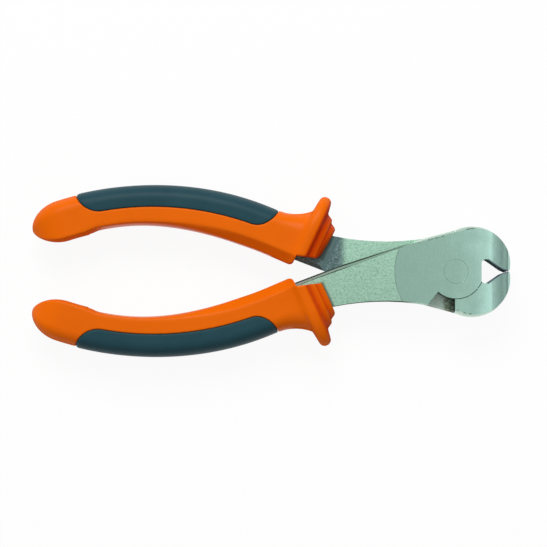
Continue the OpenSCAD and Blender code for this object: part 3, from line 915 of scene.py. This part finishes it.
# Painted shade in the notch beside the jaw: bright at its handle side, dark towards the jaw's heel
NOTCH_SHADE_TINTS = [(0.0, (0.42, 0.51, 0.46)), (0.5, (0.15, 0.16, 0.11)), (1.0, (0.045, 0.042, 0.02))]
# Painted shade at the collar's end: blots, pits, rises, and its steep walls, which are painted lighter
SHADE_TINTS = [(0.35, (0.11, 0.19, 0.18)), (0.65, (0.17, 0.265, 0.27))]
SHADE_PIT = (0.05, 0.085, 0.085)
SHADE_RISE = (0.30, 0.44, 0.43)
SHADE_WALL = (0.26, 0.40, 0.41)
# Painted shade in the crevice in front of the collar
CREVICE_SHADE = (0.05, 0.065, 0.055)
# Painted shade in the eye and on the rim along its bevels
EYE_SHADE = (0.14, 0.20, 0.22)
# Dark joint lines, also the painted shade on the heel's wall
JOINT_LINE_AND_HEEL_SHADE = (0.05, 0.06, 0.055)


def steel(name, side):
    """Greenish steel: ground bright round the pivot with a painted sheen towards the jaws, pitted forging
    outside the ground circle and on the sides, a painted highlight along the head's edge, painted shade in
    the notch, on the heel's wall and at the collar, and dull and dark as painted shade in the jaws' eye and
    along the inner walls. side is 1 on the front half and on the rivet, -1 on the rear half."""
    m, t, p = nodes_of(name)
    co = t.nodes.new("ShaderNodeTexCoord")
    obj = co.outputs["Object"]
    x, y, z = split(t, obj)
    nx, ny, nz = split(t, co.outputs["Normal"])
    if side < 0:
        y, ny = times(t, y, -1.0), times(t, ny, -1.0)
    r = distance(t, x, y)
    lap = size_of(t, minus(t, z, MID * MM))
    level = size_of(t, nz)

    # Masks: walls, lap faces, forging, and the places that light hardly reaches
    wall = soft(t, level, *WALL)
    lap_face = times(t, soft(t, lap, *LAP_FACE), soft(t, r, *PAST_BOSS))
    raw = most(t, soft(t, r, *GROUND_EDGE), wall, lap_face)
    notch = times(t, lap_face, soft(t, r, *NOTCH_R), soft(t, level, *LEVEL))
    covered = soft(t, times(t, minus(t, MID * MM, z), float(side)), *COVERED)
    shaded = times(t, covered, soft(t, x, *SHADED_X))
    # Painted shade in the eye: its walls and the narrow rim along its bevels
    eye_wall = times(t, wall, soft(t, nx, *EYE_TURN), soft(t, x, *EYE_X))
    past_main = minus(t, y, times(t, minus(t, MAIN_BEVEL[0], x), MAIN_BEVEL[1]))
    past_fine = minus(t, y, times(t, minus(t, FINE_BEVEL[0], x), FINE_BEVEL[1]))
    past_both = math_node(t, "MINIMUM", past_main, past_fine)
    eye_rim = times(t, soft(t, past_both, *BEVEL_RIM), soft(t, x, *RIM_X))
    eye = most(t, eye_wall, eye_rim)
    strip = times(t, wall, soft(t, ny, *STRIP_TURN), soft(t, x, *STRIP_X))
    # The rivet's own line is fainter than the boss's
    joint = times(t, soft(t, level, *EDGE), soft(t, r, *JOINT_R), spread(t, r, *PAST_RIVET, 0.35, 1.0))
    # Painted shade on the heel's wall
    heel = times(t, wall, soft(t, nx, *HEEL_TURN), soft(t, x, *HEEL_X[0]), soft(t, x, *HEEL_X[1]))
    line = most(t, joint, heel)
    flank = times(t, wall, most(t, soft(t, x, *SHANK_X), soft(t, x, *JAW_WALL_X)))
    # Painted shade in the crevice along the collar's front edge, out from the end of its opening
    collar = float(GUARD @ FORWARD + COLLAR_LEN) * MM
    opening = float(GUARD @ OUTWARD + opening_limit(COLLAR_LEN)) * MM
    beside = soft(t, toward(t, x, y, OUTWARD), opening - CREVICE_SIDE, opening)
    ahead = soft(t, toward(t, x, y, FORWARD), collar + CREVICE_RUN[0], collar + CREVICE_RUN[1])
    crevice = times(t, ahead, beside, CREVICE_SHARE)

    # Painted highlight along the head's edge, a pale band with dark dashes inside it, by the distance to the
    # edge
    head_across = (-math.sin(HEAD_SLOPE), math.cos(HEAD_SLOPE))
    straight = minus(t, HEAD_EDGE, toward(t, x, y, head_across))
    bent = minus(t, JAW_R, distance(t, minus(t, x, JAW_X), minus(t, y, JAW_Y)))
    to_edge = mixed_value(t, soft(t, x, *EDGE_CHANGE_X), straight, bent)
    near = minus(t, spread(t, x, *RIM_HIGHLIGHT_WIDTH), to_edge)
    along_head = times(t, soft(t, x, *RIM_HIGHLIGHT_X), soft(t, y, *RIM_HIGHLIGHT_Y))
    rim_highlight = times(t, soft(t, near, *RIM_HIGHLIGHT_IN), along_head)
    brink = times(t, soft(t, near, *BRINK_IN), soft(t, near, *BRINK_OUT), soft(t, x, *BRINK_X), along_head)

    # Grain: ground marks across the head, pits and specks of the forging
    marks = noise(t, stretched(t, obj, MARKS_SCALE), 1.0, 3, 0.6)
    cloud = noise(t, obj, CLOUD_SCALE, 3)
    pits = noise(t, obj, PITS_SCALE, 4, 0.6)
    blot = noise(t, obj, BLOT_SCALE, 3)
    specks = soft(t, noise(t, obj, SPECKS_SCALE, 2, 0.5), *SPECKS_RUN)

    # Colour, layer on layer
    # The ground face lightens towards the jaws, a painted sheen
    cloudy_x = plus(t, x, times(t, minus(t, cloud, 0.5), CLOUD_SHIFT))
    ground = ramp(t, spread(t, cloudy_x, *GROUND_SHEEN_X, 0, 1), GROUND_SHEEN_TINTS)
    forging = mixed(t, times(t, specks, 0.5), ramp(t, pits, FORGING_TINTS), SPECK)
    colour = mixed(t, raw, ground, forging)
    colour = mixed(t, times(t, flank, 0.9), colour, DARK_WALL)
    # Painted highlight along the head's edge
    colour = mixed(t, times(t, rim_highlight, spread(t, pits, 0.35, 0.55, 0.5, 0.9)), colour, RIM_HIGHLIGHT)
    colour = mixed(t, times(t, brink, soft(t, blot, 0.5, 0.56), 0.85), colour, BRINK)
    # Painted shade on the slanting inner wall, darkest near the collar
    inner_wall_shade = ramp(t, spread(t, x, *INNER_WALL_X, 0, 1), STRIP_SHADE_TINTS)
    lines = times(t, most(t, soft(t, lap, *LINE_NEAR), soft(t, lap, *LINE_FAR)), soft(t, x, *LINE_X), 0.95)
    colour = mixed(t, strip, colour, mixed(t, lines, inner_wall_shade, STRIP_LINE))
    # Painted shade in the notch, darkening towards the jaw's heel
    blotted_x = plus(t, x, times(t, minus(t, blot, 0.5), BLOT_SHIFT))
    notch_shade = ramp(t, soft(t, blotted_x, *NOTCH_X), NOTCH_SHADE_TINTS)
    colour = mixed(t, times(t, notch, spread(t, pits, 0.35, 0.65, 1.0, 0.6)), colour, notch_shade)
    shade = ramp(t, blot, SHADE_TINTS)
    shade = mixed(t, spread(t, pits, 0.4, 0.62, 0.6, 0.0), shade, SHADE_PIT)
    shade = mixed(t, spread(t, pits, 0.52, 0.7, 0.0, 0.5), shade, SHADE_RISE)
    shade = mixed(t, times(t, wall, soft(t, nx, 0.3, 0.6), 0.6), shade, SHADE_WALL)
    # Painted shade at the collar's end
    colour = mixed(t, shaded, colour, shade)
    # Painted shade along the collar's front edge
    colour = mixed(t, crevice, colour, CREVICE_SHADE)
    # Painted shade in the eye
    colour = mixed(t, eye, colour, EYE_SHADE)
    # Dark joint lines, and painted shade on the heel's wall
    feed(t, p.inputs["Base Color"], mixed(t, line, colour, JOINT_LINE_AND_HEEL_SHADE))

    # Finish: bright where it is ground, duller where it is forged, matt in the dark places
    matt = most(t, shaded, line, eye, times(t, strip, 0.85), times(t, flank, 0.85))
    feed(t, p.inputs["Metallic"], spread(t, matt, 0, 1, 1.0, 0.0))
    feed(t, p.inputs["Specular IOR Level"], 0.05)
    bright = spread(t, marks, *NOISE_RUN, 0.22, 0.31)
    dull = spread(t, pits, *NOISE_RUN, 0.5, 0.36)
    feed(t, p.inputs["Roughness"], mixed_value(t, matt, mixed_value(t, raw, bright, dull), 0.8))
    flare = spread(t, x, *FLARE, "SMOOTHSTEP")
    height = plus(t, times(t, pits, raw), times(t, marks, MARKS_HEIGHT), flare)
    bump(t, p, height, STEEL_DEPTH, STEEL_STRENGTH)
    return m


def even_shading(angle):
    """A node group that shades faces evenly across edges of less than an angle."""
    g = bpy.data.node_groups.new("even_shading", "GeometryNodeTree")
    for way in ("INPUT", "OUTPUT"):
        g.interface.new_socket("Geometry", in_out=way, socket_type="NodeSocketGeometry")
    first = g.nodes.new("NodeGroupInput")
    last = g.nodes.new("NodeGroupOutput")
    drop = g.nodes.new("GeometryNodeRemoveAttribute")
    drop.inputs["Name"].default_value = "custom_normal"
    faces = g.nodes.new("GeometryNodeSetShadeSmooth")
    faces.domain = "FACE"
    edges = g.nodes.new("GeometryNodeSetShadeSmooth")
    edges.domain = "EDGE"
    edges.inputs["Shade Smooth"].default_value = False
    bend = g.nodes.new("GeometryNodeInputMeshEdgeAngle")
    sharp = g.nodes.new("FunctionNodeCompare")
    sharp.operation = "GREATER_THAN"
    sharp.inputs[1].default_value = angle
    g.links.new(bend.outputs["Unsigned Angle"], sharp.inputs[0])
    g.links.new(sharp.outputs[0], edges.inputs["Selection"])
    for a, b in ((first, drop), (drop, faces), (faces, edges), (edges, last)):
        g.links.new(a.outputs[0], b.inputs[0])
    return g


# Angles up to which faces shade as one, up to which they count as flat, and from which an edge is rounded
EVEN_ANGLE = math.radians(25)
FLAT_ANGLE = math.radians(0.6)
ROUND_ANGLE = math.radians(28)
# Rounds of the steel's edges
HALF_ROUND = 0.0002
RIVET_ROUND = 0.00008
EVEN = even_shading(EVEN_ANGLE)


def dress(node, material, width):
    """Rounds the edges of a CAD node with modifiers and gives it a material."""
    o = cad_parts[node]
    weld = o.modifiers.new("weld", "WELD")
    weld.merge_threshold = SAME_POINT
    flat = o.modifiers.new("flat", "DECIMATE")
    flat.decimate_type = "DISSOLVE"
    flat.angle_limit = FLAT_ANGLE
    o.modifiers.new("shade", "NODES").node_group = EVEN
    edge = o.modifiers.new("edge", "BEVEL")
    edge.width = width
    edge.segments = 2
    edge.limit_method = "ANGLE"
    edge.angle_limit = ROUND_ANGLE
    edge.harden_normals = True
    edge.use_clamp_overlap = True
    o.data.materials.clear()
    o.data.materials.append(material)


# Colour, darker tint, roughness, scale of the grain and specular level
ORANGE = ((0.80, 0.138, 0.001), (0.76, 0.124, 0.0005), 0.32, 2600, 0.06)
SLATE = ((0.018, 0.063, 0.080), (0.014, 0.051, 0.067), 0.42, 3600, 0.09)
front_orange = plastic("front_orange_plastic", *ORANGE, 1)
rear_orange = plastic("rear_orange_plastic", *ORANGE, -1)
slate = plastic("slate_rubber", *SLATE)

grip_points, grip_faces = grip_mesh()
pad_points, pad_faces = pad_mesh()
make("front_grip_body", grip_points, grip_faces, front_orange, "front_lever", "front_grip")
make("rear_grip_body", turned(grip_points), grip_faces, rear_orange, "rear_lever", "rear_grip")
make("front_soft_pad", pad_points, pad_faces, slate, "front_lever", "front_pad")
make("rear_soft_pad", turned(pad_points), pad_faces, slate, "rear_lever", "rear_pad")
dress("front_half", steel("front_steel", 1), HALF_ROUND)
dress("rear_half", steel("rear_steel", -1), HALF_ROUND)
dress("rivet", steel("rivet_steel", 1), RIVET_ROUND)

# Pale floor under the grips: white to the camera and in reflections, apart from a share of its real
# shading, which keeps the shadow
FLOOR_Z = -3.75 * MM
FLOOR_HALF = 3
WHITE_SHARE = 0.93
scene = bpy.context.scene
floor_material = bpy.data.materials.new("floor")
floor_material.use_nodes = True
tree = floor_material.node_tree
tree.nodes.clear()
floor_out = tree.nodes.new("ShaderNodeOutputMaterial")
floor_mix = tree.nodes.new("ShaderNodeMixShader")
paint = tree.nodes.new("ShaderNodeBsdfDiffuse")
paint.inputs["Color"].default_value = (0.9, 0.9, 0.9, 1)
white = tree.nodes.new("ShaderNodeEmission")
white.inputs["Color"].default_value = (1, 1, 1, 1)
white.inputs["Strength"].default_value = 1.0
path = tree.nodes.new("ShaderNodeLightPath")
seen = most(tree, *(path.outputs[ray] for ray in ("Is Camera Ray", "Is Glossy Ray", "Is Transmission Ray")))
tree.links.new(times(tree, seen, WHITE_SHARE), floor_mix.inputs[0])
tree.links.new(paint.outputs[0], floor_mix.inputs[1])
tree.links.new(white.outputs[0], floor_mix.inputs[2])
tree.links.new(floor_mix.outputs[0], floor_out.inputs["Surface"])
floor_mesh = bpy.data.meshes.new("floor")
floor_mesh.from_pydata(
    [(i * FLOOR_HALF, j * FLOOR_HALF, FLOOR_Z) for i, j in ((-1, -1), (1, -1), (1, 1), (-1, 1))],
    [], [(0, 1, 2, 3)])
floor_mesh.materials.append(floor_material)
floor = bpy.data.objects.new("floor", floor_mesh)
scene.collection.objects.link(floor)

# Studio light round the tool, by the direction that it comes from
world = bpy.data.worlds.new("studio")
scene.world = world
world.use_nodes = True
sky = world.node_tree
sky.nodes.clear()
sky_out = sky.nodes.new("ShaderNodeOutputWorld")
sky_light = sky.nodes.new("ShaderNodeBackground")
sx, sy, sz = split(sky, sky.nodes.new("ShaderNodeTexCoord").outputs["Generated"])
# Pale ceiling over dim walls
ceiling = spread(sky, sz, 0.15, 0.92, 0.22, 0.8, "SMOOTHSTEP")
# Brighter wall beyond the upper handle, more so towards the bulbs
beyond = times(sky, soft(sky, sy, -0.1, 0.8), spread(sky, sx, -0.6, 0.6, 0.6, 0.2))
# Brighter wall below the lower handle
below = times(sky, soft(sky, sy, -0.35, -0.85), spread(sky, sx, -0.2, 0.5, 0.45, 0.1))
# Dark side ahead of the jaws, on the side of the lower handle
ahead = times(sky, soft(sky, minus(sky, times(sky, sx, 0.906), times(sky, sy, 0.42)), 0.0, 0.5), -0.3)
# Bright strip and dark screen overhead, for the streaks on ridges and steps
streak = times(sky, soft(sky, sx, -0.02, -0.1), soft(sky, sx, -0.22, -0.14), soft(sky, sz, 0.3, 0.6), 0.55)
screen = times(sky, soft(sky, sx, -0.17, -0.3), soft(sky, sx, -0.96, -0.85), soft(sky, sz, 0.1, 0.3), -0.3)
# Bright wall behind the bulbs
behind = times(sky, soft(sky, sx, -0.82, -0.97), 0.7)
LEAST_LIGHT = 0.16
light = most(sky, plus(sky, ceiling, beyond, ahead, screen, below, behind, streak), LEAST_LIGHT)
sky.links.new(light, sky_light.inputs["Strength"])
sky.links.new(sky_light.outputs[0], sky_out.inputs["Surface"])

# One large lamp above and beyond the upper handle, aimed at the middle of the tool
LAMP_PLACE = Vector((-0.14, 0.62, 0.72))
LAMP_AIM = Vector((-0.06, 0, 0))
key_data = bpy.data.lights.new("key", "AREA")
key_data.shape = "RECTANGLE"
key_data.size = 0.5
key_data.size_y = 0.4
key_data.energy = 5.8
key = bpy.data.objects.new("key", key_data)
key.location = LAMP_PLACE
key.rotation_euler = (LAMP_AIM - LAMP_PLACE).to_track_quat("-Z", "Y").to_euler()
scene.collection.objects.link(key)

# Camera: straight down on the tool with a slight tilt, in the photograph's square frame. The frame's side,
# its middle and the pivot's place are in pixels, a pixel's size and the camera's distance in millimetres
FRAME_SIDE = 547
FRAME_MID = 273
PIVOT_X, PIVOT_Y = 454.4, 270.8
PIXEL = 0.3361
CAMERA_DIST = 700.0
CAMERA_TILT = math.radians(1.8)
CAMERA_ROLL = math.radians(0.15)
SENSOR = 36
target = Vector(((FRAME_MID - PIVOT_X) * PIXEL, (PIVOT_Y - FRAME_MID) * PIXEL, MID)) * MM
back = Vector((0, -math.sin(CAMERA_TILT), math.cos(CAMERA_TILT)))
camera_data = bpy.data.cameras.new("camera")
camera = bpy.data.objects.new("camera", camera_data)
scene.collection.objects.link(camera)
camera.location = target + back * CAMERA_DIST * MM
turn = Matrix.Rotation(CAMERA_TILT, 3, "X") @ Matrix.Rotation(CAMERA_ROLL, 3, "Z")
camera.rotation_euler = turn.to_euler()
camera_data.sensor_width = SENSOR
camera_data.lens = SENSOR * CAMERA_DIST / (FRAME_SIDE * PIXEL)
camera_data.clip_end = 20
scene.camera = camera
scene.view_settings.view_transform = "Standard"
